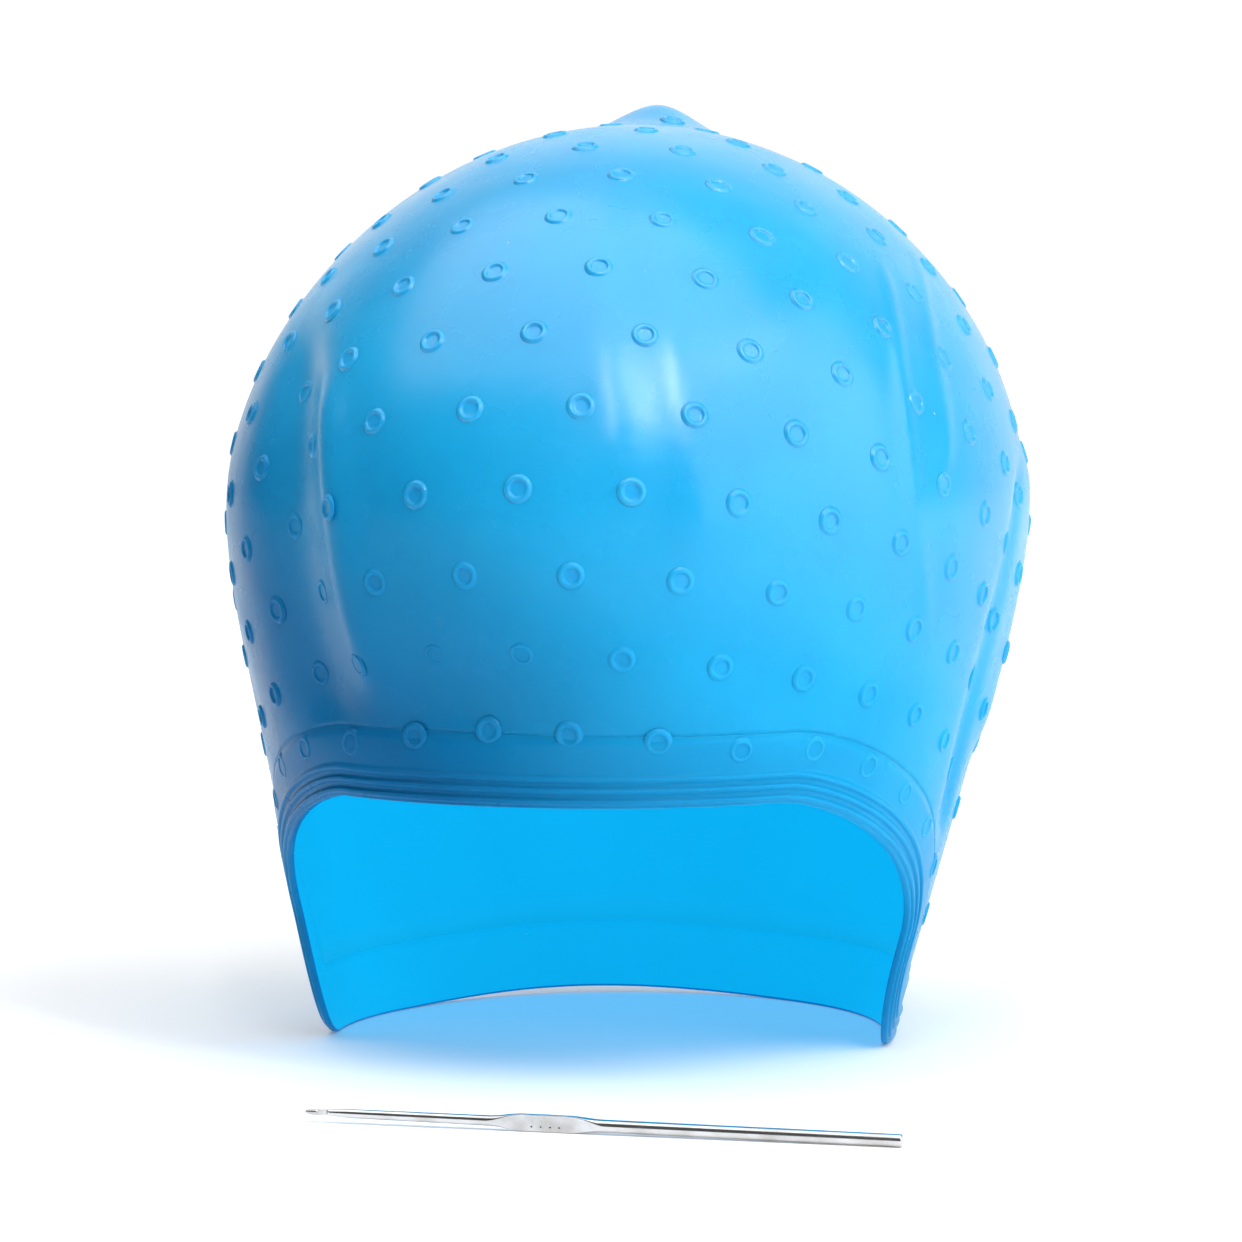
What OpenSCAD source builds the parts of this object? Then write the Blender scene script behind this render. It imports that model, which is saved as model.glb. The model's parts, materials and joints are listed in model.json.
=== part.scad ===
// Silicone highlighting cap and its steel hook. The cap stands on its lower edge with the face
// opening towards -Y, and the hook lies on the ground in front of it. Millimetres, +Z up, with
// the origin on the ground under the middle of the cap.

/* [Cap] */
// Width of the cap along its widest line
cap_w = 173; // [145:1:208]
// Depth of the cap along its widest line, from brow to back
cap_d = 208; // [174:1:250]
// Height of the dome above the widest line
dome_h = 81.5; // [68:0.5:98]
// Height of the widest line above the lower edge
skirt_h = 119; // [100:1:143]
// Roundness of the dome: 2 is an ellipse, less is more pointed
dome_power = 1.76; // [1.6:0.02:2.2]
// Inward slope of the skirt at the sides, below its turn
skirt_slope = 0.26; // [0.1:0.01:0.31]
// Height over which the wall turns from upright into that slope
skirt_turn = 26; // [12:1:40]
// Sideways lean of the soft cap, in degrees
lean = 1.5; // [0:0.5:4]
// Thickness of the silicone wall
skin_t = 1.0; // [0.8:0.1:1.6]

/* [Nub] */
// Angle of the nub behind the top of the dome
nub_tilt = 22; // [12:1:30]
// Height of the nub above the dome
nub_h = 9.4; // [4:0.1:11.2]
// Reach of the nub's foot round its middle
nub_r = 13; // [9:1:16]

/* [Face opening] */
// Height of the brow edge above the ground
brow_h = 60; // [54:1:72]
// Angle round the cap from the middle of the brow to each cheek edge
cheek_angle = 76; // [63:1:82]
// Length of the rounded temple corner along the brow
temple_l = 57; // [47:1:68]
// Height of the rounded temple corner
temple_h = 33; // [26:1:36]
// Roundness of that corner: 2 is an ellipse, less is straighter
temple_power = 1.45; // [1.3:0.05:2]
// Length of the rounded corner under each cheek edge
lobe_l = 20; // [18:1:26]
// Height of the rounded corner under each cheek edge
lobe_h = 20; // [18:1:22]
// Rise of the lower edge at the nape
nape_rise = 1.5; // [0:0.5:6]
// Half the length of that rise along the edge
nape_l = 72; // [40:1:86]
// Distance of the top of the rise from the middle of the back, towards the left
nape_shift = 23; // [0:1:30]

/* [Hem] */
// Height of the thick band along the edge
hem_h = 15; // [12:0.5:17.5]
// How far the band stands out of the wall
hem_out = 0.6; // [0.5:0.1:1]
// Number of beads along the band
bead_count = 3; // [1:1:4]
// Distance of the first bead from the edge
bead_first = 1.3; // [1.3:0.1:2]
// Spacing of the beads
bead_gap = 2.4; // [2.2:0.1:3]
// Radius of a bead
bead_r = 0.6; // [0.4:0.1:0.8]

/* [Rings] */
// Number of rows of rings between the nub and the brow
ring_rows = 13; // [11:1:15]
// Distance of the first row from the nub
first_row = 14.4; // [12:0.2:18]
// Distance of the last row above the brow edge
last_row = 15.5; // [15:0.5:19]
// Spacing of the rings along a row
ring_gap = 21.8; // [18:0.2:27]
// Least distance from a ring's middle to the edge
ring_clear = 11; // [10.5:0.5:14]
// Radius of a ring, to the middle of its bead
ring_r = 2.05; // [1.6:0.05:2.6]
// Thickness of a ring's bead
ring_t = 1.2; // [0.9:0.1:1.4]

/* [Hook] */
// Length of the hook
hook_l = 122; // [110:1:147]
// Radius of the shank
shank_r = 1.3; // [1.1:0.05:1.6]
// Length of the round shank behind the flat
shank_l = 60; // [50:1:68]
// Length of the pressed flat, with its two ramps
flat_l = 24; // [20:1:30]
// Width of the pressed flat
flat_w = 3.5; // [3.3:0.1:4.2]
// Thickness of the pressed flat
flat_t = 1.3; // [1.1:0.1:1.6]
// Radius of the neck where it leaves the flat
neck_r = 1.05; // [0.95:0.05:1.25]
// Radius of the neck where the point begins
point_r = 0.9; // [0.75:0.05:0.95]
// Length of the point, with the throat and the head
point_l = 9; // [8:0.5:11]
// Radius of the hook's head
head_r = 0.6; // [0.5:0.05:0.7]
// Length of the head in front of the throat
head_l = 2.3; // [1.9:0.1:2.8]
// Length of the throat
throat_l = 2.4; // [2:0.1:2.9]
// Depth of the throat
throat_depth = 0.55; // [0.45:0.05:0.65]
// Number of plain strokes stamped into the flat
stroke_count = 4; // [2:1:5]
// Depth of a stroke
stroke_depth = 0.12; // [0.05:0.01:0.2]
// Turn of the hook on the ground from the cap's left-right line
hook_turn = -6; // [-20:1:20]
// Distance of the hook's middle in front of the brow
hook_ahead = 30; // [25:1:50]
// Distance of the hook's middle to the right of the cap's middle
hook_right = 16; // [0:1:30]

/* [Hidden] */
half_w = cap_w / 2;
half_d = cap_d / 2;
ring_outer = ring_r + ring_t / 2;
narrowing = skirt_slope / half_w;
middle = [0, 0, skirt_h];

// Numbers of steps along each stretch of the edge, up the skirt and up the dome
brow_steps = 11;
temple_steps = 14;
cheek_steps = 3;
lobe_steps = 8;
nape_steps = 24;
skirt_steps = 8;
dome_steps = 20;
// How strongly the dome's steps gather towards the widest line and the nub
dome_gather = 0.4;
// The inside of the wall takes every second row of the outside
inner_step = 2;
// How softly the dome starts to bend over the widest line
dome_ease = 0.15;
// How quickly the nub falls away round its middle
nub_fall = 1.7;
// Chamfer along the band's edges
hem_chamfer = 0.4;
// Steps in degrees for lengths measured over the wall, and for a ring's own tilt
wall_step = 2;
row_step = 10;
tilt_step = 1;
// Angle by which a ring too near the edge is moved up at a time
ring_move = 0.5;
// Length of each ramp of the hook's flat, and steps along it
ramp_l = 7.5;
ramp_steps = 6;
tail_chamfer = 0.25;
// Size of a stamped stroke, and spacing of the strokes
stroke_l = 1.4;
stroke_w = 0.3;
stroke_gap = 1.9;

ROWS = [for (k = [1:ring_rows]) str("ring_row_", k < 10 ? "0" : "", k)];

// --- The wall: a dome over a skirt that draws in, with ellipses in plan ---

function unit(v) = v / norm(v);
function between(a, b, t) = a + (b - a) * t;
function eased(a, b, t) = between(a, b, (1 - cos(180 * t)) / 2);

// What the dome has lost of its plan at a share of its height, as a power with a soft start
function softened(u, power) = pow(u * u + dome_ease * dome_ease, power / 2);
whole_loss = softened(1, dome_power) - softened(0, dome_power);
function dome_loss(u) = (softened(u, dome_power) - softened(0, dome_power)) / whole_loss;
function dome_slope(u) = dome_power * u * softened(u, dome_power - 2) / whole_loss;

// Size of the plan at a height, as a share of the widest line's
function section(z) = z > skirt_h
    ? sqrt(max(0, 1 - dome_loss((z - skirt_h) / dome_h)))
    : 1 - narrowing * (norm([skirt_h - z, skirt_turn]) - skirt_turn);

// Way out of the wall: level all over the skirt, so that its edge stays level
function way_out(p) = unit([2 * p.x / pow(half_w, 2), 2 * p.y / pow(half_d, 2),
    p.z > skirt_h ? dome_slope((p.z - skirt_h) / dome_h) / dome_h : 0]);

// Distance from the middle of the widest line to the wall along d, found by halving
function reach(d, near = 0, far = 2 * norm([half_d, skirt_h]), halvings = 24) =
    let (r = (near + far) / 2)
    halvings == 0 ? r
    : norm([d.x / half_w, d.y / half_d]) * r < section(skirt_h + r * d.z) ? reach(d, r, far, halvings - 1)
    : reach(d, near, r, halvings - 1);

// Point of the plain wall at an angle from the nub and an angle round it from the front
function on_wall(t, round) = let (v = [sin(t) * sin(round), -sin(t) * cos(round), cos(t)],
    d = [v.x, v.y * cos(nub_tilt) + v.z * sin(nub_tilt), v.z * cos(nub_tilt) - v.y * sin(nub_tilt)])
    middle + reach(d) * d;

nub_foot = on_wall(0, 0);

// Point of the plain wall moved out by a distance, with the nub and the lean added
function finished(p, out) = let (rise = nub_h * exp(-pow(norm(p - nub_foot) / nub_r, nub_fall)),
    q = p + (out + rise) * way_out(p))
    [q.x + (q.z - skirt_h) * tan(lean), q.y, q.z];

// --- The edge: points as [way round the cap, height, normal's two parts, angle of the column] ---

// Length round the cap of one degree, at the brow
degree_l = PI * (half_w + half_d) * section(brow_h) / 360;
half_round = 180 * degree_l;
cheek_x = cheek_angle * degree_l;
brow_l = cheek_x - temple_l;
lobe_x = cheek_x + lobe_l;

// Angles on the widest line where the columns from each stretch of the edge end
brow_fan = brow_l / degree_l + 3;
temple_fan = cheek_angle + 20;
cheek_fan = temple_fan + 7;
lobe_fan = cheek_fan + 15;

// Point of a rounded corner from its middle, and its normal, a share t of the way round
function corner(l, h, power, t) = [l * pow(sin(90 * t), 2 / power), h * pow(cos(90 * t), 2 / power)];
function corner_normal(l, h, power, t) = let (turn = 2 - 2 / power)
    [pow(sin(90 * t), turn) / l, pow(cos(90 * t), turn) / h];

function edge_point(x, z, normal, column) = [x, z, unit(normal).x, unit(normal).y, column];

right_edge = concat(
    [for (i = [0:brow_steps - 1]) let (t = i / brow_steps)
        edge_point(brow_l * t, brow_h, [0, 1], brow_fan * t)],
    [for (i = [0:temple_steps - 1])
        let (t = i / temple_steps, p = corner(temple_l, temple_h, temple_power, t),
            normal = corner_normal(temple_l, temple_h, temple_power, t))
        edge_point(brow_l + p.x, brow_h - temple_h + p.y, normal, between(brow_fan, temple_fan, t))],
    [for (i = [0:cheek_steps - 1]) let (t = i / cheek_steps)
        edge_point(cheek_x, between(brow_h - temple_h, lobe_h, t), [1, 0],
            between(temple_fan, cheek_fan, t))],
    [for (i = [0:lobe_steps - 1]) let (t = i / lobe_steps, p = corner(lobe_l, lobe_h, 2, 1 - t))
        edge_point(lobe_x - p.x, lobe_h - p.y, corner_normal(lobe_l, lobe_h, 2, 1 - t),
            between(cheek_fan, lobe_fan, t))],
    [for (i = [0:nape_steps]) let (t = i / nape_steps)
        edge_point(between(lobe_x, half_round, t), 0, [0, 1], between(lobe_fan, 180, t))]);
half_count = len(right_edge) - 1;
columns = 2 * half_count;

// Rise of the edge at the nape, where the way round the cap is to the right or to the left
function nape_lift(x, side) = let (off = abs(x - half_round - side * nape_shift))
    off < nape_l ? nape_rise * (1 + cos(180 * off / nape_l)) / 2 : 0;

function placed(e, side) = [side * e[0], e[1] + nape_lift(e[0], side), side * e[2], e[3], side * e[4]];

edge = concat([for (i = [0:half_count]) placed(right_edge[i], 1)],
    [for (i = [half_count - 1:-1:1]) placed(right_edge[i], -1)]);

// Point of the plain wall from its way round the cap and its height
function unrolled(x, z) = let (a = x / degree_l, w = section(z))
    [half_w * w * sin(a), -half_d * w * cos(a), z];

// Way round the cap and height at a distance in from an edge point
function inward(e, distance) = [e[0] + e[2] * distance, e[1] + e[3] * distance];

// --- The skin: a column from each edge point over the hem, up the skirt and on to the nub ---

function skirt_point(e, t, out) = let (foot = inward(e, hem_h), x = between(foot.x, e[4] * degree_l, t))
    finished(unrolled(x, between(foot.y, skirt_h, t)), out);

function dome_point(e, t, out) = let (start = unit(unrolled(e[4] * degree_l, skirt_h) - middle),
    end = unit(nub_foot - middle), turn = acos(start * end), side = unit(end - (start * end) * start),
    d = cos(turn * t) * start + sin(turn * t) * side)
    finished(middle + reach(d) * d, out);

// Row up the wall: its steps are short by the widest line and by the nub, where the wall bends most
function skin_row(row, out) = row <= skirt_steps
    ? [for (e = edge) skirt_point(e, row / skirt_steps, out)]
    : let (share = (row - skirt_steps) / dome_steps, t = share - dome_gather * sin(360 * share) / (2 * PI))
        [for (e = edge) dome_point(e, t, out)];

// Triangles between a row of points and the next row, both going once round the cap
function row_faces(low, high) = [for (i = [0:columns - 1]) let (j = (i + 1) % columns)
    each [[low + i, high + i, high + j], [low + i, high + j, low + j]]];

module cap_skin() {
    last_row_up = skirt_steps + dome_steps - 1;
    rows = concat([for (row = [0:inner_step:last_row_up]) skin_row(last_row_up - 1 - row, -skin_t)],
        [for (row = [0:last_row_up]) skin_row(row, 0)]);
    points = [for (row = rows) each row];
    inner_tip = len(points);
    outer_tip = inner_tip + 1;
    last = inner_tip - columns;
    color("deepskyblue") polyhedron(
        concat(points, [finished(nub_foot, -skin_t), finished(nub_foot, 0)]),
        concat([for (i = [0:columns - 1]) [inner_tip, i, (i + 1) % columns]],
            [for (k = [0:len(rows) - 2]) each row_faces(k * columns, (k + 1) * columns)],
            [for (i = [0:columns - 1]) [last + i, outer_tip, last + (i + 1) % columns]]));
}

// --- The rim band: the thick hem with its beads, whose top meets the skin's edge ---

bead_arc = [0, 45, 90, 135, 180];
hem_section = concat(
    [[hem_chamfer, -skin_t], [0, hem_chamfer - skin_t], [0, hem_out - hem_chamfer], [hem_chamfer, hem_out]],
    [for (k = [0:bead_count - 1], a = bead_arc)
        [bead_first + k * bead_gap - bead_r * cos(a), hem_out + bead_r * sin(a)]],
    [[hem_h - hem_chamfer, hem_out], [hem_h, hem_out - hem_chamfer], [hem_h, 0], [hem_h, -skin_t]]);

module rim_band() {
    count = len(hem_section);
    points = [for (s = hem_section, e = edge) let (p = inward(e, s.x)) finished(unrolled(p.x, p.y), s.y)];
    color("dodgerblue") polyhedron(points,
        [for (k = [0:count - 1]) each row_faces(k * columns, (k + 1) % count * columns)]);
}

// --- The rings: circles of small collars round the nub, staggered from row to row ---

// Lengths over the wall from the nub down the front, as [length, angle from the nub, height]
function front_lengths(t = 0, length = 0, last = nub_foot) =
    let (p = on_wall(t, 0), l = length + norm(p - last))
    p.z < 0 ? [] : concat([[l, t, p.z]], front_lengths(t + wall_step, l, p));

front = front_lengths();
brow_length = lookup(-brow_h, [for (f = front) [-f[2], f[0]]]);
angle_at = [for (f = front) [f[0], f[1]]];
row_gap = (brow_length - last_row - first_row) / (ring_rows - 1);

// Distance of a point of the plain wall from the edge, less than 0 inside the opening
function from_edge(p) = let (q = [atan2(p.x / half_w, -p.y / half_d) * degree_l, p.z],
    gaps = [for (e = edge) norm(q - [e[0], e[1]])], least = min(gaps),
    e = edge[[for (i = [0:columns - 1]) if (gaps[i] == least) i][0]])
    (q - [e[0], e[1]]) * [e[2], e[3]] > 0 ? least : -least;

// Angle from the nub at which a ring is clear of the edge: its row's, or a little less, or else 0
function clear_angle(t, round, moves = 5) = let (p = on_wall(t, round))
    p.z > skirt_h || from_edge(p) >= ring_clear ? t
    : moves == 0 ? 0 : clear_angle(t - ring_move, round, moves - 1);

module collar(t, round, out) {
    p = finished(on_wall(t, round), out);
    down = finished(on_wall(t + tilt_step, round), out) - p;
    along = finished(on_wall(t, round + tilt_step / sin(t)), out) - p;
    n = unit(cross(down, along));
    translate(p) rotate([0, acos(n.z), atan2(n.y, n.x)])
        rotate_extrude($fn = 32) translate([ring_r, 0]) circle(d = ring_t, $fn = 20);
}

module ring_row(k) {
    t = lookup(first_row + (k - 1) * row_gap, angle_at);
    loop = [for (a = [0:row_step:360]) on_wall(t, a)];
    length = [for (i = [1:len(loop) - 1]) norm(loop[i] - loop[i - 1])] * [for (i = [1:len(loop) - 1]) 1];
    count = round(length / ring_gap);
    stagger = k % 2 == 1 ? 0.25 : -0.25;
    color("lightskyblue") for (i = [0:count - 1]) {
        around = (i + stagger) * 360 / count;
        seat = clear_angle(t, around);
        p = on_wall(seat, around);
        by_hem = p.z < skirt_h && from_edge(p) < hem_h + ring_outer;
        if (seat > 0) collar(seat, around, by_hem ? hem_out / 2 : 0);
    }
}

// --- The hook: drawn along +Z from its tail, then laid on the ground with its point to the left ---

flat_end = shank_l + flat_l;
ramp = [for (i = [0:ramp_steps]) i / ramp_steps];
throat_z = hook_l - head_l - throat_l;

hook_outline = concat([[0, 0], [shank_r - tail_chamfer, 0], [shank_r, tail_chamfer]],
    [for (t = ramp) [eased(shank_r, flat_w / 2, t), shank_l + ramp_l * t]],
    [for (t = ramp) [eased(flat_w / 2, neck_r, t), flat_end - ramp_l * (1 - t)]],
    [[point_r, hook_l - point_l], [head_r, throat_z]],
    [for (a = [0:15:90]) [head_r * cos(a), hook_l - head_l * (1 - sin(a))]]);

// One side of what the press takes off, as [distance from the middle, place along the hook]
press_outline = concat([[flat_w, shank_l]],
    [for (t = ramp) [eased(shank_r, flat_t / 2, t), shank_l + ramp_l * t]],
    [for (t = ramp) [eased(flat_t / 2, neck_r, t), flat_end - ramp_l * (1 - t)]], [[flat_w, flat_end]]);

// The throat's slot, square to the point at its front and sloping out behind
throat_outline = [[head_r - throat_depth, throat_z + 0.6], [head_r - throat_depth, throat_z + throat_l - 0.3],
    [flat_w, throat_z + throat_l + 0.6], [flat_w, throat_z - 4]];

module across(outline) {
    rotate([90, 0, 90]) linear_extrude(2 * flat_w, center = true) polygon(outline);
}

module hook_shape() {
    difference() {
        rotate_extrude($fn = 48) polygon(hook_outline);
        for (side = [0, 1]) mirror([0, side, 0]) across(press_outline);
        mirror([0, 1, 0]) across(throat_outline);
        for (i = [0:stroke_count - 1])
            translate([0, -flat_t / 2, shank_l + flat_l / 2 + (i - (stroke_count - 1) / 2) * stroke_gap])
                cube([stroke_l, 2 * stroke_depth, stroke_w], center = true);
    }
}

// The flat's lower edge and the tail's rim both touch the ground
hook_tilt = atan((flat_w / 2 - shank_r) / (shank_l + ramp_l));

module crochet_hook() {
    color("silver") translate([hook_right, -half_d - hook_ahead, 0]) rotate([0, 0, hook_turn])
        translate([hook_l / 2, 0, shank_r]) rotate([0, hook_tilt, 0]) rotate([0, -90, 0]) hook_shape();
}

cap_skin();
rim_band();
for (k = [1:ring_rows]) ring_row(k);
crochet_hook();
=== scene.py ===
"""Looks of the highlighting cap: a soft blue silicone moulding, and the steel hook that lies before it.

Lengths are millimetres in the wall's own formulas, which are the CAD's, and MM turns them into metres.
"""

import json
import math

import bpy
import numpy as np
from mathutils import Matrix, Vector


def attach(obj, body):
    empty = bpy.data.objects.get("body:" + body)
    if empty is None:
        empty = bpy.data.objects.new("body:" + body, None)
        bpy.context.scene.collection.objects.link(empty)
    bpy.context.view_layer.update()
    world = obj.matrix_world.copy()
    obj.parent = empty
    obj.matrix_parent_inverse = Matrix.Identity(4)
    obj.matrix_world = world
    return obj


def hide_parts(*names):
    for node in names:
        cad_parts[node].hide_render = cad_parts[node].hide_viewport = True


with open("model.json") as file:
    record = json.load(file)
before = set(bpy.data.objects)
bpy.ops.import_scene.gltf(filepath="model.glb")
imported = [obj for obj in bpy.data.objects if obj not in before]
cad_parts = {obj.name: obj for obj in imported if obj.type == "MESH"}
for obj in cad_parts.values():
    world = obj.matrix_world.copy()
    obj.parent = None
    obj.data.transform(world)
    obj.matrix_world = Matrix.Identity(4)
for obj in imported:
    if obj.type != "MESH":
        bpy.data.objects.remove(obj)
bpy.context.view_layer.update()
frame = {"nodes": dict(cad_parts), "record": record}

MM = 0.001

# The wall: widest line, dome above it, skirt below it
HALF_W, HALF_D = 86.5, 104.0
DOME_H, DOME_POWER, DOME_EASE = 81.5, 1.76, 0.15
SKIRT_H, SKIRT_SLOPE, SKIRT_TURN = 119.0, 0.26, 26.0
LEAN = math.tan(math.radians(1.5))
SKIN_T = 1.0
NUB_TILT, NUB_H, NUB_R, NUB_FALL = math.radians(22.0), 9.4, 13.0, 1.7

# The face opening's edge
BROW_H, CHEEK_ANGLE = 60.0, 76.0
TEMPLE_L, TEMPLE_H, TEMPLE_POWER = 57.0, 33.0, 1.45
LOBE_L, LOBE_H = 20.0, 20.0
NAPE_RISE, NAPE_L, NAPE_SHIFT = 1.5, 72.0, 23.0

# The hem, its three beads and its shoulder
HEM_H, HEM_OUT, HEM_EDGE_R, SHOULDER = 15.0, 0.6, 0.5, 2.0
BEADS, BEAD_FIRST, BEAD_GAP, BEAD_R = 3, 1.3, 2.4, 0.6

# The hook, along its own length from the tail
HOOK_L, SHANK_R, SHANK_L, TAIL_R = 122.0, 1.3, 60.0, 0.35
FLAT_L, FLAT_W, FLAT_T, RAMP_L = 24.0, 3.5, 1.3, 7.5
NECK_R, POINT_R, POINT_L = 1.05, 0.9, 9.0
HEAD_R, HEAD_L, HEAD_TIP = 0.6, 2.3, 0.6
THROAT_L, THROAT_DEPTH, THROAT_RUN_IN, THROAT_EDGE, THROAT_LIP = 2.4, 0.55, 4, 0.3, 0.5
STROKES, STROKE_L, STROKE_W, STROKE_GAP, STROKE_DEPTH = 4, 1.4, 0.3, 1.9, 0.12


# --- Camera, first of all, at the photograph's angle ---

def make_camera(target, azimuth, elevation, distance, lens):
    """A camera that looks at target, from azimuth degrees right of the front and elevation above level."""
    a, e = math.radians(azimuth), math.radians(elevation)
    back = Vector((math.sin(a) * math.cos(e), -math.cos(a) * math.cos(e), math.sin(e)))
    data = bpy.data.cameras.new("camera")
    data.lens, data.sensor_width = lens, 36
    data.clip_start, data.clip_end = 0.05, 50
    camera = bpy.data.objects.new("camera", data)
    camera.location = Vector(target) + back * distance
    camera.rotation_mode = "QUATERNION"
    camera.rotation_quaternion = (-back).to_track_quat("-Z", "Y")
    bpy.context.scene.collection.objects.link(camera)
    bpy.context.scene.camera = camera


make_camera(target=(-0.001, 0, 0.092), azimuth=9, elevation=4, distance=1.25, lens=165)
bpy.context.scene.view_settings.view_transform = "Standard"


# --- The wall's shape, on arrays of points ---

def unit(v):
    return v / np.linalg.norm(v, axis=-1, keepdims=True)


def between(a, b, t):
    return a + (b - a) * t


def eased(a, b, t):
    return between(a, b, (1 - np.cos(math.pi * np.clip(t, 0, 1))) / 2)


def softened(u, power):
    """A power of u with a soft start."""
    return (u * u + DOME_EASE ** 2) ** (power / 2)


WHOLE_LOSS = softened(1, DOME_POWER) - softened(0, DOME_POWER)


def section(z):
    """Size of the plan at a height, as a share of the widest line's."""
    up = np.clip((z - SKIRT_H) / DOME_H, 0, 1)
    down = np.clip(SKIRT_H - z, 0, None)
    skirt = 1 - SKIRT_SLOPE / HALF_W * (np.hypot(down, SKIRT_TURN) - SKIRT_TURN)
    loss = (softened(up, DOME_POWER) - softened(0, DOME_POWER)) / WHOLE_LOSS
    return np.where(z > SKIRT_H, np.sqrt(np.clip(1 - loss, 0, 1)), skirt)


def on_ray(d):
    """Points of the plain wall straight out from the middle of the widest line along d, by halving."""
    wide = np.hypot(d[:, 0] / HALF_W, d[:, 1] / HALF_D)
    near, far = np.zeros(len(d)), np.full(len(d), 2 * math.hypot(HALF_D, SKIRT_H))
    for _ in range(26):
        r = (near + far) / 2
        inside = wide * r < section(SKIRT_H + r * d[:, 2])
        near, far = np.where(inside, r, near), np.where(inside, far, r)
    return MIDDLE + near[:, None] * d


# Length of one degree of the way round, at the brow's height
DEGREE_L = math.pi * (HALF_W + HALF_D) * float(section(np.array(BROW_H))) / 360
MIDDLE = np.array([0, 0, SKIRT_H])
NUB_FOOT = on_ray(np.array([[0, math.sin(NUB_TILT), math.cos(NUB_TILT)]]))[0]


def way_out(p):
    """Direction out of the wall: level all over the skirt, as on the CAD part."""
    up = np.clip((p[:, 2] - SKIRT_H) / DOME_H, 0, 1)
    rise = DOME_POWER / DOME_H * up * softened(up, DOME_POWER - 2) / WHOLE_LOSS
    return unit(np.stack([2 * p[:, 0] / HALF_W ** 2, 2 * p[:, 1] / HALF_D ** 2, rise], -1))


def unrolled(x, z):
    """Points of the plain wall from the way round the cap and the height."""
    a, w = np.radians(x / DEGREE_L), section(z)
    return np.stack([HALF_W * w * np.sin(a), -HALF_D * w * np.cos(a), z + 0 * w], -1)


# --- The folds of the soft wall: in is negative, and angles go round the cap from the front ---

# Each fold's line as (height, angle), half its width, its rise, and how softly it ends
FOLDS = [
    # the hollow behind the left temple, and the ridge beside it
    ([(145, -50), (136, -47), (120, -45), (101, -43), (86, -42)], 12.5, -4.6, 20),
    ([(138, -37), (132, -35), (122, -33), (108, -31), (90, -29.5)], 5.5, 2.0, 14),
    # fine wrinkles down the right side
    ([(165, 62), (155, 57.5), (142, 55), (126, 54), (101, 58)], 2.2, 0.55, 10),
    ([(167, 76), (157, 68), (144, 64), (132, 62)], 2.6, 0.5, 10),
    # the crease on the far right, and the bulge behind it
    ([(120, 88), (107, 84), (94, 82.5), (79, 80.5), (55, 82)], 4.5, -1.7, 12),
    ([(122, 101), (107, 98), (94, 96), (74, 95)], 9, 1.6, 14),
    # two soft ridges over the brow
    ([(178, 4), (157, 6), (139, 9.5), (125, 11)], 5.5, 0.45, 12),
    ([(162, 17), (147, 18), (135, 19.5), (120, 20.5)], 5, 0.4, 12),
]
# Each dent's angle, height, half its length and half its height, and its rise
DENTS = [(-14, 82, 27, 14, -6.2), (-2, 108, 16, 20, 1.0), (30, 88, 34, 26, 0.8), (-68, 70, 30, 30, -1.0)]
# Each wave of the wall as lobes round the cap, its height, its phase and its rise
WAVES = [(3, 62, 0.6, 0.30), (5, -90, 2.1, 0.22), (8, 48, 4.0, 0.12)]


def fold_rise(p):
    """How far the folds move the wall out at each of its points."""
    angle = np.degrees(np.arctan2(p[:, 0] / HALF_W, -p[:, 1] / HALF_D))
    z = p[:, 2]
    rise = sum(up * np.sin(np.radians(lobes * angle) + z / height + phase)
               for lobes, height, phase, up in WAVES) * np.clip((NUB_FOOT[2] - z) / 40, 0, 1)
    for line, width, up, soft in FOLDS:
        heights, angles = np.array(line, float).T
        centre = np.polynomial.Polynomial.fit(heights, angles, 3)
        low, high = heights.min(), heights.max()
        ends = eased(0, 1, (z - low + soft) / soft) * eased(0, 1, (high + soft - z) / soft)
        off = (angle - centre(np.clip(z, low - soft, high + soft))) * DEGREE_L
        rise = rise + up * ends * np.exp(-(off / width) ** 2)
    for at, height, half_l, half_h, up in DENTS:
        rise = rise + up * np.exp(-((angle - at) * DEGREE_L / half_l) ** 2 - ((z - height) / half_h) ** 2)
    return rise


def finished(p, out):
    """Points of the plain wall moved out by a distance, with the folds, the nub and the lean added."""
    nub = NUB_H * np.exp(-(np.linalg.norm(p - NUB_FOOT, axis=1) / NUB_R) ** NUB_FALL)
    q = p + (out + nub + fold_rise(p))[:, None] * way_out(p)
    q[:, 0] += (q[:, 2] - SKIRT_H) * LEAN
    return q


# --- The edge: its points' way round the cap, height, inward direction, and column's angle ---

def corner(l, h, power, t):
    """Points of a rounded corner from its middle, and the normal there."""
    s, c = np.sin(math.pi / 2 * t), np.cos(math.pi / 2 * t)
    turn = 2 - 2 / power
    return l * s ** (2 / power), h * c ** (2 / power), s ** turn / l, c ** turn / h


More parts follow.
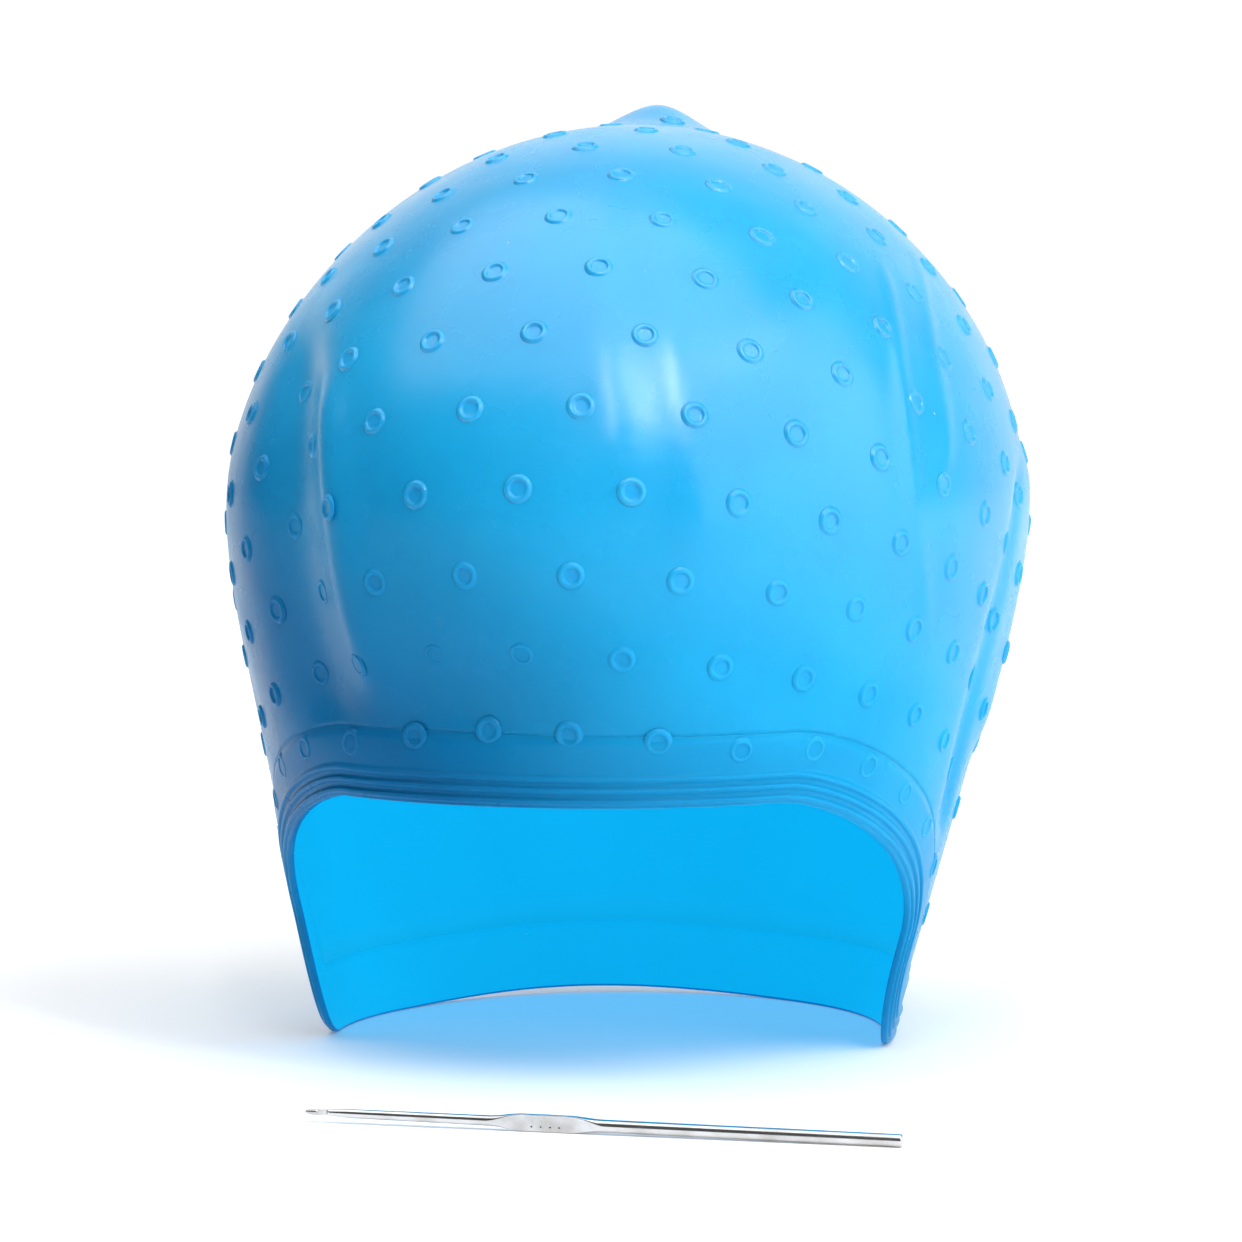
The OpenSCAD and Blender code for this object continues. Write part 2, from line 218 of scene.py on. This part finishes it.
def right_edge():
    """Half of the edge, from the middle of the brow to the middle of the nape."""
    cheek_x = CHEEK_ANGLE * DEGREE_L
    brow_l, lobe_x, back = cheek_x - TEMPLE_L, cheek_x + LOBE_L, 180 * DEGREE_L
    # The columns' angles at the ends of the edge's five stretches, and the steps in each stretch
    fans = [0, brow_l / DEGREE_L + 3, CHEEK_ANGLE + 20, CHEEK_ANGLE + 27, CHEEK_ANGLE + 42, 180]
    steps = [36, 56, 12, 32, 104]
    brow, temple, cheek, lobe, nape = (np.arange(n) / n for n in steps)
    tx, tz, tnx, tnz = corner(TEMPLE_L, TEMPLE_H, TEMPLE_POWER, temple)
    lx, lz, lnx, lnz = corner(LOBE_L, LOBE_H, 2, 1 - lobe)
    parts = [
        (brow_l * brow, BROW_H + 0 * brow, 0 * brow, 1 + 0 * brow),
        (brow_l + tx, BROW_H - TEMPLE_H + tz, tnx, tnz),
        (cheek_x + 0 * cheek, between(BROW_H - TEMPLE_H, LOBE_H, cheek), 1 + 0 * cheek, 0 * cheek),
        (lobe_x - lx, LOBE_H - lz, lnx, lnz),
        (between(lobe_x, back, nape), 0 * nape, 0 * nape, 1 + 0 * nape),
    ]
    column = [between(a, b, t) for a, b, t in zip(fans, fans[1:], (brow, temple, cheek, lobe, nape))]
    x, z, nx, nz = (np.concatenate(values) for values in zip(*parts))
    end = np.array([[back, 0, 0, 1, 180]])
    return np.concatenate([np.stack([x, z, nx, nz, np.concatenate(column)], -1), end])


def whole_edge():
    """The edge all the way round, with the nape's rise, as rows of (way, height, inward, inward, angle)."""
    half = right_edge()
    half[:, 2:4] = unit(half[:, 2:4])
    sides = []
    for side, part in ((1, half), (-1, half[-2:0:-1])):
        part = part.copy()
        off = np.abs(part[:, 0] - 180 * DEGREE_L - side * NAPE_SHIFT)
        part[:, 1] += NAPE_RISE * (1 + np.cos(math.pi * np.clip(off / NAPE_L, 0, 1))) / 2
        part[:, [0, 2, 4]] *= side
        sides.append(part)
    return np.concatenate(sides)


EDGE = whole_edge()


# --- Meshes ---

def mesh_piece(name, points, faces, *materials, inside=()):
    """A smooth piece from points in millimetres. Faces in the inside ranges take the second material."""
    mesh = bpy.data.meshes.new(name)
    mesh.from_pydata((points * MM).tolist(), [], faces)
    mesh.shade_smooth()
    for material in materials:
        mesh.materials.append(material)
    slots = np.zeros(len(faces), np.int32)
    for first, last in inside:
        slots[first:last] = 1
    mesh.polygons.foreach_set("material_index", slots)
    piece = bpy.data.objects.new(name, mesh)
    bpy.context.scene.collection.objects.link(piece)
    return piece


def loop_faces(rows, columns, closed=False, first=0):
    """Quads between rows of points that each go once round."""
    k = np.arange(rows if closed else rows - 1)[:, None] * columns
    up = (k + columns) % (rows * columns)
    i = np.arange(columns)[None]
    j = (i + 1) % columns
    return (first + np.stack([k + i, k + j, up + j, up + i], -1).reshape(-1, 4)).tolist()


def fan_faces(tip, start, columns, upward):
    """Triangles from a loop of points to one tip."""
    around = [(start + i, start + (i + 1) % columns) for i in range(columns)]
    return [(a, b, tip) if upward else (b, a, tip) for a, b in around]


# Above the widest line the wall's rows lie closer together towards the nub
NUB_CROWDING = 1.35


def wall_row(t, out):
    """One loop of the wall: t goes from 0 at the hem to 1 at the widest line and 2 at the nub."""
    if t <= 1:
        foot_x, foot_z = EDGE[:, 0] + EDGE[:, 2] * HEM_H, EDGE[:, 1] + EDGE[:, 3] * HEM_H
        return finished(unrolled(between(foot_x, EDGE[:, 4] * DEGREE_L, t), between(foot_z, SKIRT_H, t)), out)
    level = np.full(len(EDGE), SKIRT_H)
    start = unit(unrolled(EDGE[:, 4] * DEGREE_L, level) - MIDDLE)
    end = unit(NUB_FOOT - MIDDLE)
    cosine = start @ end
    side = unit(end - cosine[:, None] * start)
    turn = np.arccos(cosine) * (1 - (2 - t) ** NUB_CROWDING)
    return finished(on_ray(np.cos(turn)[:, None] * start + np.sin(turn)[:, None] * side), out)


def cap_wall(*materials):
    """The skin from the hem up: its inside from the nub down, then its outside from the hem up."""
    inside = np.concatenate([np.linspace(1.97, 1, 34), np.linspace(1, 0, 18)[1:]])
    outside = np.concatenate([np.linspace(0, 1, 52), np.linspace(1, 1.99, 90)[1:]])
    rows = [wall_row(t, -SKIN_T) for t in inside] + [wall_row(t, 0) for t in outside]
    tips = [finished(NUB_FOOT[None], -SKIN_T), finished(NUB_FOOT[None], 0)]
    columns, tip = len(EDGE), len(rows) * len(EDGE)
    faces = (loop_faces(len(rows), columns) + fan_faces(tip, 0, columns, False)
             + fan_faces(tip + 1, tip - columns, columns, True))
    quads = (len(rows) - 1) * columns
    insides = [(0, (len(inside) - 1) * columns), (quads, quads + columns)]
    return mesh_piece("cap_wall", np.concatenate(rows + tips), faces, *materials, inside=insides)


# Steps down the hem's inside
BACK_STEPS = 8


def hem_profile():
    """The hem's section as (distance from the edge, distance out), up its outside and down its inside."""
    quarter = np.linspace(0, math.pi / 2, 5)
    bead = np.linspace(0, math.pi, 11)
    r = HEM_EDGE_R
    inner = [(r - r * math.sin(a), r - SKIN_T - r * math.cos(a)) for a in quarter]
    outer = [(r - r * math.cos(a), HEM_OUT - r + r * math.sin(a)) for a in quarter]
    beads = [(BEAD_FIRST + k * BEAD_GAP - BEAD_R * math.cos(a), HEM_OUT + BEAD_R * math.sin(a))
             for k in range(BEADS) for a in bead]
    flat = [(s, HEM_OUT) for s in np.arange(beads[-1][0] + 0.8, HEM_H - SHOULDER - 0.4, 1.2)]
    shoulder = [(HEM_H - SHOULDER * (1 - t), float(eased(HEM_OUT, 0, t))) for t in np.linspace(0, 1, 7)]
    back = [(s, -SKIN_T) for s in np.linspace(HEM_H, r, BACK_STEPS + 1)[:-1]]
    return inner + outer + beads + flat + shoulder + back


def hem_band(*materials):
    rows = []
    for s, out in hem_profile():
        x, z = EDGE[:, 0] + EDGE[:, 2] * s, EDGE[:, 1] + EDGE[:, 3] * s
        rows.append(finished(unrolled(x, z), out))
    faces = loop_faces(len(rows), len(EDGE), closed=True)
    inside = [(len(faces) - BACK_STEPS * len(EDGE), len(faces))]
    return mesh_piece("hem_band", np.concatenate(rows), faces, *materials, inside=inside)


# --- The rings: a collar on each of the CAD's ring seats, with a thin floor inside ---

RING_SPAN = 6.0
COLLAR_STEPS = 32
# Outside foot, rim and inside foot as (radius, height), then the floor
COLLAR = [(3.0, -0.12), (2.8, 0.0), (2.68, 0.1), (2.56, 0.26), (2.4, 0.4), (2.2, 0.46), (2.0, 0.46),
          (1.82, 0.39), (1.68, 0.22), (1.56, 0.05), (1.4, 0.0), (1.0, 0.0), (0.5, 0.0)]
FLOOR_RISE = 0.025
# How far under the wall a collar's closed underside ends
COLLAR_ROOT = 0.5


def ring_seats(node):
    """Middle and way out of each ring of a CAD row."""
    mesh = frame["nodes"][node].data
    left = np.zeros(len(mesh.vertices) * 3, np.float32)
    mesh.vertices.foreach_get("co", left)
    left = left.reshape(-1, 3).astype(float) / MM
    seats = []
    while len(left):
        near = np.linalg.norm(left - left[0], axis=1) < RING_SPAN
        ring, left = left[near], left[~near]
        centre = (ring.min(0) + ring.max(0)) / 2
        normal = np.linalg.svd(ring - centre, full_matrices=False)[2][2]
        seats.append((centre, normal * np.sign(normal @ (centre - MIDDLE))))
    return seats


def folded_seat(centre, normal):
    """A seat moved and turned with the folds of the wall under it, and the two ways along the wall."""
    across = unit(np.cross(normal, [0, 0, 1.0]) + 1e-9)
    up = np.cross(across, normal)
    reach = 2.0
    around = np.array([centre, centre + across * reach, centre + up * reach])
    moved = around + fold_rise(around)[:, None] * normal
    across, up = unit(moved[1] - moved[0]), unit(moved[2] - moved[0])
    normal = unit(np.cross(up, across))
    normal = normal * np.sign(normal @ (centre - MIDDLE))
    return moved[0], normal, across, unit(np.cross(across, normal))


def ring_row(name, node, material, rng):
    points, faces = [], []
    turns = np.linspace(0, 2 * math.pi, COLLAR_STEPS, endpoint=False)
    for centre, normal in ring_seats(node):
        centre, normal, across, up = folded_seat(centre, normal)
        if np.cross(across, up) @ normal < 0:
            up = -up
        size, tall = rng.uniform(0.96, 1.04), rng.uniform(0.85, 1.1)
        first = sum(len(p) for p in points)
        for radius, height in COLLAR:
            h = FLOOR_RISE + height * tall
            points.append(centre + normal * h + size * radius
                          * (np.cos(turns)[:, None] * across + np.sin(turns)[:, None] * up))
        points.append(np.array([centre + normal * FLOOR_RISE, centre - normal * COLLAR_ROOT]))
        count = len(COLLAR) * COLLAR_STEPS
        faces += loop_faces(len(COLLAR), COLLAR_STEPS, first=first)
        faces += fan_faces(first + count, first + count - COLLAR_STEPS, COLLAR_STEPS, True)
        faces += fan_faces(first + count + 1, first, COLLAR_STEPS, False)
    return mesh_piece(name, np.concatenate(points), faces, material)


# --- The hook ---

def hook_section(at):
    """The outline's radius, half the pressed thickness and the throat's limit, so far from the tail."""
    flat_end, throat_at = SHANK_L + FLAT_L, HOOK_L - HEAD_L - THROAT_L
    if at < flat_end:
        up = eased(0, 1, (at - SHANK_L) / RAMP_L)
        down = eased(0, 1, (at - flat_end + RAMP_L) / RAMP_L)
        radius = between(between(SHANK_R, FLAT_W / 2, up), NECK_R, down)
        half_t = between(between(SHANK_R, FLAT_T / 2, up), NECK_R, down)
    else:
        stops = [flat_end, HOOK_L - POINT_L, throat_at, HOOK_L - HEAD_L]
        radius = float(np.interp(at, stops, [NECK_R, POINT_R, HEAD_R, HEAD_R]))
        if at > HOOK_L - HEAD_L:
            radius = HEAD_R * math.sqrt(max(0, 1 - ((at - HOOK_L + HEAD_L) / HEAD_L) ** 2))
        half_t = radius
    if at < TAIL_R:
        radius = half_t = SHANK_R - TAIL_R + math.sqrt(TAIL_R ** 2 - (TAIL_R - at) ** 2)
    throat_end, floor_at = throat_at + THROAT_L, HEAD_R - THROAT_DEPTH
    open_at = [throat_at - THROAT_RUN_IN, throat_at + THROAT_EDGE, throat_end - THROAT_EDGE,
               throat_end + THROAT_LIP]
    throat = float(np.interp(at, open_at, [FLAT_W, floor_at, floor_at, FLAT_W]))
    return radius, half_t, throat


def hook_points(round_count):
    """Loops of points from the tail to the point, in the hook's own frame: width, thickness, length."""
    flat_middle, flat_end = SHANK_L + FLAT_L / 2, SHANK_L + FLAT_L
    stamp_l = STROKES * STROKE_GAP / 2
    stops = np.concatenate([
        np.array([0, 0.06, 0.14, 0.24, TAIL_R]),
        np.arange(1.5, SHANK_L, 2.5),
        np.arange(SHANK_L, flat_middle - stamp_l, 0.5),
        np.arange(flat_middle - stamp_l, flat_middle + stamp_l, 0.075),
        np.arange(flat_middle + stamp_l, flat_end, 0.5),
        np.arange(flat_end, HOOK_L - POINT_L, 1.5),
        np.arange(HOOK_L - POINT_L, HOOK_L - HEAD_TIP, 0.12),
        HOOK_L - HEAD_TIP * (1 - np.linspace(0, 0.98, 9)) ** 2])
    turn = np.linspace(0, 2 * math.pi, round_count, endpoint=False)
    rows = []
    for at in np.unique(stops.round(6)):  # stretches that meet share a stop, which would leave empty faces
        radius, half_t, throat = hook_section(at)
        width, thick = radius * np.cos(turn), radius * np.sin(turn)
        thick = np.clip(thick, -min(half_t, throat), half_t)
        for k in range(STROKES):
            place = flat_middle + (k - (STROKES - 1) / 2) * STROKE_GAP
            pressed = (abs(at - place) < STROKE_W / 2) & (np.abs(width) < STROKE_L / 2) & (thick < 0)
            thick = np.where(pressed, thick + STROKE_DEPTH, thick)
        rows.append(np.stack([width, thick, np.full(round_count, at)], -1))
    return rows


def steel_hook(material):
    """The hook where the CAD's lies, from its shank's mount: width upright, throat to the front."""
    mount = next(m for m in frame["record"]["mounts"] if m["name"] == "hook_shank")
    to_tail = unit(np.array(mount["axis"], float))
    tail = np.array(mount["pos_m"], float) / MM + to_tail * SHANK_L / 2
    thickness = unit(np.cross([0, 0, 1.0], to_tail))
    axes = np.array([np.cross(thickness, -to_tail), thickness, -to_tail])
    columns = 96
    rows = [tail + row @ axes for row in hook_points(columns)]
    tips = [tail[None], (tail - to_tail * HOOK_L)[None]]
    last = len(rows) * columns
    faces = (loop_faces(len(rows), columns) + fan_faces(last, 0, columns, False)
             + fan_faces(last + 1, last - columns, columns, True))
    return mesh_piece("steel_hook", np.concatenate(rows + tips), faces, material)


# --- Materials ---

class Nodes:
    """A new material, its Principled shader, and short ways to add nodes and links."""

    def __init__(self, name, **constants):
        self.material = bpy.data.materials.new(name)
        self.material.use_nodes = True
        self.tree = self.material.node_tree
        self.shader = self.tree.nodes["Principled BSDF"]
        for socket, value in constants.items():
            self.shader.inputs[socket.replace("_", " ")].default_value = value
        self.place = self.add("ShaderNodeTexCoord").outputs["Object"]

    def add(self, kind, settings=None, **inputs):
        """A node with its settings, and inputs that are values or other nodes' outputs."""
        node = self.tree.nodes.new(kind)
        for key, value in (settings or {}).items():
            setattr(node, key, value)
        for name, value in inputs.items():
            self.link(value, node.inputs[name.replace("_", " ")])
        return node

    def link(self, value, socket):
        if isinstance(value, bpy.types.NodeSocket):
            self.tree.links.new(value, socket)
        else:
            socket.default_value = value

    def noise(self, scale, detail=2.0, place=None):
        node = self.add("ShaderNodeTexNoise", Vector=place or self.place, Scale=scale, Detail=detail)
        return node.outputs["Fac"]

    def ramp(self, value, low, high, to_low=0.0, to_high=1.0):
        return self.add("ShaderNodeMapRange", Value=value, From_Min=low, From_Max=high,
                        To_Min=to_low, To_Max=to_high).outputs["Result"]

    def math(self, operation, a, b):
        node = self.add("ShaderNodeMath", {"operation": operation})
        self.link(a, node.inputs[0])
        self.link(b, node.inputs[1])
        return node.outputs[0]

    def mix(self, share, a, b):
        node = self.add("ShaderNodeMix", {"data_type": "RGBA"})
        self.link(share, node.inputs["Factor"])
        self.link(a, node.inputs[6])
        self.link(b, node.inputs[7])
        return node.outputs[2]

    def bump(self, height, strength, distance, normal=None):
        node = self.add("ShaderNodeBump", Height=height, Strength=strength, Distance=distance)
        if normal is not None:
            self.link(normal, node.inputs["Normal"])
        return node.outputs["Normal"]

    def wear(self, **sockets):
        """Links outputs to the shader's own sockets."""
        for name, value in sockets.items():
            self.link(value, self.shader.inputs[name.replace("_", " ")])
        return self.material


# Painted shade: what is left of each part of the silicone's colour low on the left of the front
PAINTED_SHADE_LOW_LEFT = (0.36, 0.39, 0.5, 1)


def silicone(name, deep, pale, gloss, glow=0.0):
    """Soft translucent silicone: cloudy colour, satin skin, and a few pale specks of dust under it.

    Low on the left of the front its colour is darkened, a painted shade which follows the photograph's
    shading and isn't a claim about the silicone. Its specular level is painted too: turned down low down, all
    the way round, which mutes highlights there, and turned up high on the cap for a painted sheen.
    The glow is emission, painted light that stands in for the light which comes through the thin wall to its
    inside."""
    n = Nodes(name, IOR=1.41, Subsurface_Weight=0.35, Subsurface_Radius=(0.5, 0.9, 1.1),
              Subsurface_Scale=0.0007, Emission_Color=(0.003, 0.37, 0.72, 1), Emission_Strength=glow)
    clouds = n.ramp(n.noise(24, 3), 0.3, 0.7)
    axes = n.add("ShaderNodeSeparateXYZ", Vector=n.place).outputs
    # Painted shade: the colour darkens low on the left of the front and fades out towards the back
    upper_right = n.math("ADD", axes["Z"], n.math("MULTIPLY", axes["X"], 0.9))
    shade = n.math("MAXIMUM", n.ramp(upper_right, 0.04, 0.115), n.ramp(axes["Y"], -0.05, 0.02))
    deep, pale = (n.mix(shade, tuple(v * by for v, by in zip(colour, PAINTED_SHADE_LOW_LEFT)), colour)
                  for colour in (deep, pale))
    # Painted sheen and painted shade in the gloss: the specular level is turned up high on the cap and down
    # low down, lower on the left
    painted_sheen_level = n.ramp(n.math("ADD", axes["Z"], n.math("MULTIPLY", axes["X"], 0.3)), 0.1, 0.165, 0.12, 1.0)
    spots = n.add("ShaderNodeTexVoronoi", Vector=n.place, Scale=150.0)
    near = n.ramp(spots.outputs["Distance"], 0.05, 0.025)
    chosen = n.ramp(n.add("ShaderNodeSeparateColor", Color=spots.outputs["Color"]).outputs[0], 0.86, 0.87)
    specks = n.math("MULTIPLY", near, chosen)
    colour = n.mix(n.math("MULTIPLY", specks, 0.55), n.mix(clouds, deep, pale), (0.75, 0.93, 1.0, 1))
    skin = n.noise(160, 4)
    roughness = n.ramp(n.noise(55, 5), 0.3, 0.7, gloss - 0.05, gloss + 0.06)
    waves = n.bump(n.noise(90, 2), 0.35, 0.0004)
    return n.wear(Base_Color=colour, Roughness=roughness, Specular_IOR_Level=painted_sheen_level,
                  Normal=n.bump(skin, 0.25, 0.00012, n.bump(specks, 0.6, 0.0002, waves)))


def plated_steel(name):
    """Polished nickel plate: drawn lines along the hook, and soft smudges in its gloss."""
    n = Nodes(name, Metallic=1.0)
    along = n.add("ShaderNodeMapping", Vector=n.place, Rotation=(0, 0, math.radians(6)),
                  Scale=(25, 900, 900)).outputs["Vector"]
    lines = n.noise(1.0, 3, along)
    smudges = n.ramp(n.noise(130, 4), 0.42, 0.7)
    colour = n.mix(smudges, (0.70, 0.70, 0.71, 1), (0.52, 0.51, 0.50, 1))
    roughness = n.math("ADD", n.ramp(lines, 0.3, 0.7, 0.10, 0.17), n.math("MULTIPLY", smudges, 0.10))
    return n.wear(Base_Color=colour, Roughness=roughness, Normal=n.bump(lines, 0.12, 0.00004))


# --- The object ---

WALL_DEEP, WALL_PALE = (0.006, 0.35, 0.69, 1), (0.012, 0.41, 0.77, 1)
HEM_DEEP, HEM_PALE = (0.005, 0.33, 0.66, 1), (0.01, 0.38, 0.73, 1)
INSIDE_DEEP, INSIDE_PALE = (0.004, 0.34, 0.42, 1), (0.006, 0.38, 0.47, 1)
RING_DEEP, RING_PALE = (0.01, 0.36, 0.71, 1), (0.018, 0.42, 0.79, 1)
# The inside is a copy of the silicone with its own colours and an emission glow, painted light standing in
# for light through the thin wall
inner_silicone = silicone("silicone_inside", INSIDE_DEEP, INSIDE_PALE, 0.5, glow=0.72)
wall = cap_wall(silicone("silicone_wall", WALL_DEEP, WALL_PALE, 0.26), inner_silicone)
hem = hem_band(silicone("silicone_hem", HEM_DEEP, HEM_PALE, 0.30), inner_silicone)
pieces = [(wall, "cap", "cap_skin", "silicone_wall"), (hem, "cap", "rim_band", "silicone_hem")]
ring_silicone = silicone("silicone_ring", RING_DEEP, RING_PALE, 0.26)
for node in sorted(n for n in frame["nodes"] if n.startswith("ring_row_")):
    rng = np.random.default_rng(int(node[-2:]))
    row = ring_row(node.replace("ring_row", "collars"), node, ring_silicone, rng)
    pieces.append((row, "cap", node, "silicone_ring"))
pieces.append((steel_hook(plated_steel("steel")), "hook", "crochet_hook", "steel"))

for piece, body, node, slot in pieces:
    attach(piece, body)
    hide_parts(node)


# --- Floor and light ---

def floor(radius):
    """A pale floor that brightens behind the cap, to run into the white there, and dims just before it."""
    sides = 128
    turn = np.linspace(0, 2 * math.pi, sides, endpoint=False)
    n = Nodes("floor", Specular_IOR_Level=0.2, Emission_Color=(1, 1, 1, 1))
    away = n.add("ShaderNodeVectorMath", {"operation": "LENGTH"})
    n.link(n.place, away.inputs[0])
    ahead = n.add("ShaderNodeSeparateXYZ", Vector=n.place).outputs["Y"]
    behind = n.math("MAXIMUM", n.ramp(ahead, -0.75, -0.3), n.ramp(away.outputs["Value"], 1.0, 1.8))
    glow = n.ramp(away.outputs["Value"], 0.15, 1.6, 0.12, 0.8)
    n.wear(Emission_Strength=n.math("MULTIPLY", glow, behind))
    paper = n.mix(n.noise(3, 3), (0.93, 0.93, 0.93, 1), (0.96, 0.96, 0.96, 1))
    paper = n.mix(behind, (0.2, 0.2, 0.2, 1), paper)
    n.wear(Base_Color=paper, Roughness=n.ramp(n.noise(40, 2), 0.3, 0.7, 0.7, 0.8))
    points = np.stack([np.cos(turn), np.sin(turn), 0 * turn], -1) * radius / MM
    piece = mesh_piece("floor", points, [list(range(sides))], n.material)


def softbox(name, place, aim, size, power):
    data = bpy.data.lights.new(name, "AREA")
    data.shape, data.energy = "RECTANGLE", power
    data.size, data.size_y = size
    light = bpy.data.objects.new(name, data)
    light.location = place
    light.rotation_mode = "QUATERNION"
    light.rotation_quaternion = (Vector(aim) - Vector(place)).to_track_quat("-Z", "Y")
    bpy.context.scene.collection.objects.link(light)


def studio_world(front, back):
    """White round the back of the studio and dimmer towards the front."""
    world = bpy.data.worlds.new("studio")
    world.use_nodes = True
    bpy.context.scene.world = world
    tree = world.node_tree
    place = tree.nodes.new("ShaderNodeTexCoord")
    split = tree.nodes.new("ShaderNodeSeparateXYZ")
    grade = tree.nodes.new("ShaderNodeMapRange")
    grade.interpolation_type = "SMOOTHSTEP"
    for name, value in (("From Min", 0.4), ("From Max", 0.93), ("To Min", front), ("To Max", back)):
        grade.inputs[name].default_value = value
    tree.links.new(place.outputs["Generated"], split.inputs[0])
    tree.links.new(split.outputs["Y"], grade.inputs["Value"])
    tree.links.new(grade.outputs["Result"], tree.nodes["Background"].inputs["Strength"])
    tree.nodes["Background"].inputs["Color"].default_value = (1, 1, 1, 1)


floor(6.0)
studio_world(front=0.1, back=1.02)
softbox("key", place=(1.15, -0.35, 0.7), aim=(0, 0, 0.13), size=(1.6, 1.4), power=13)
softbox("top", place=(-0.1, -0.2, 1.35), aim=(0, 0, 0.15), size=(2.3, 1.5), power=19)
softbox("strip_left", place=(0.1, -0.74, 0.92), aim=(0, -0.05, 0.15), size=(0.04, 0.5), power=1.5)
softbox("strip_right", place=(0.42, -0.61, 0.88), aim=(0, -0.05, 0.15), size=(0.06, 0.45), power=2.3)
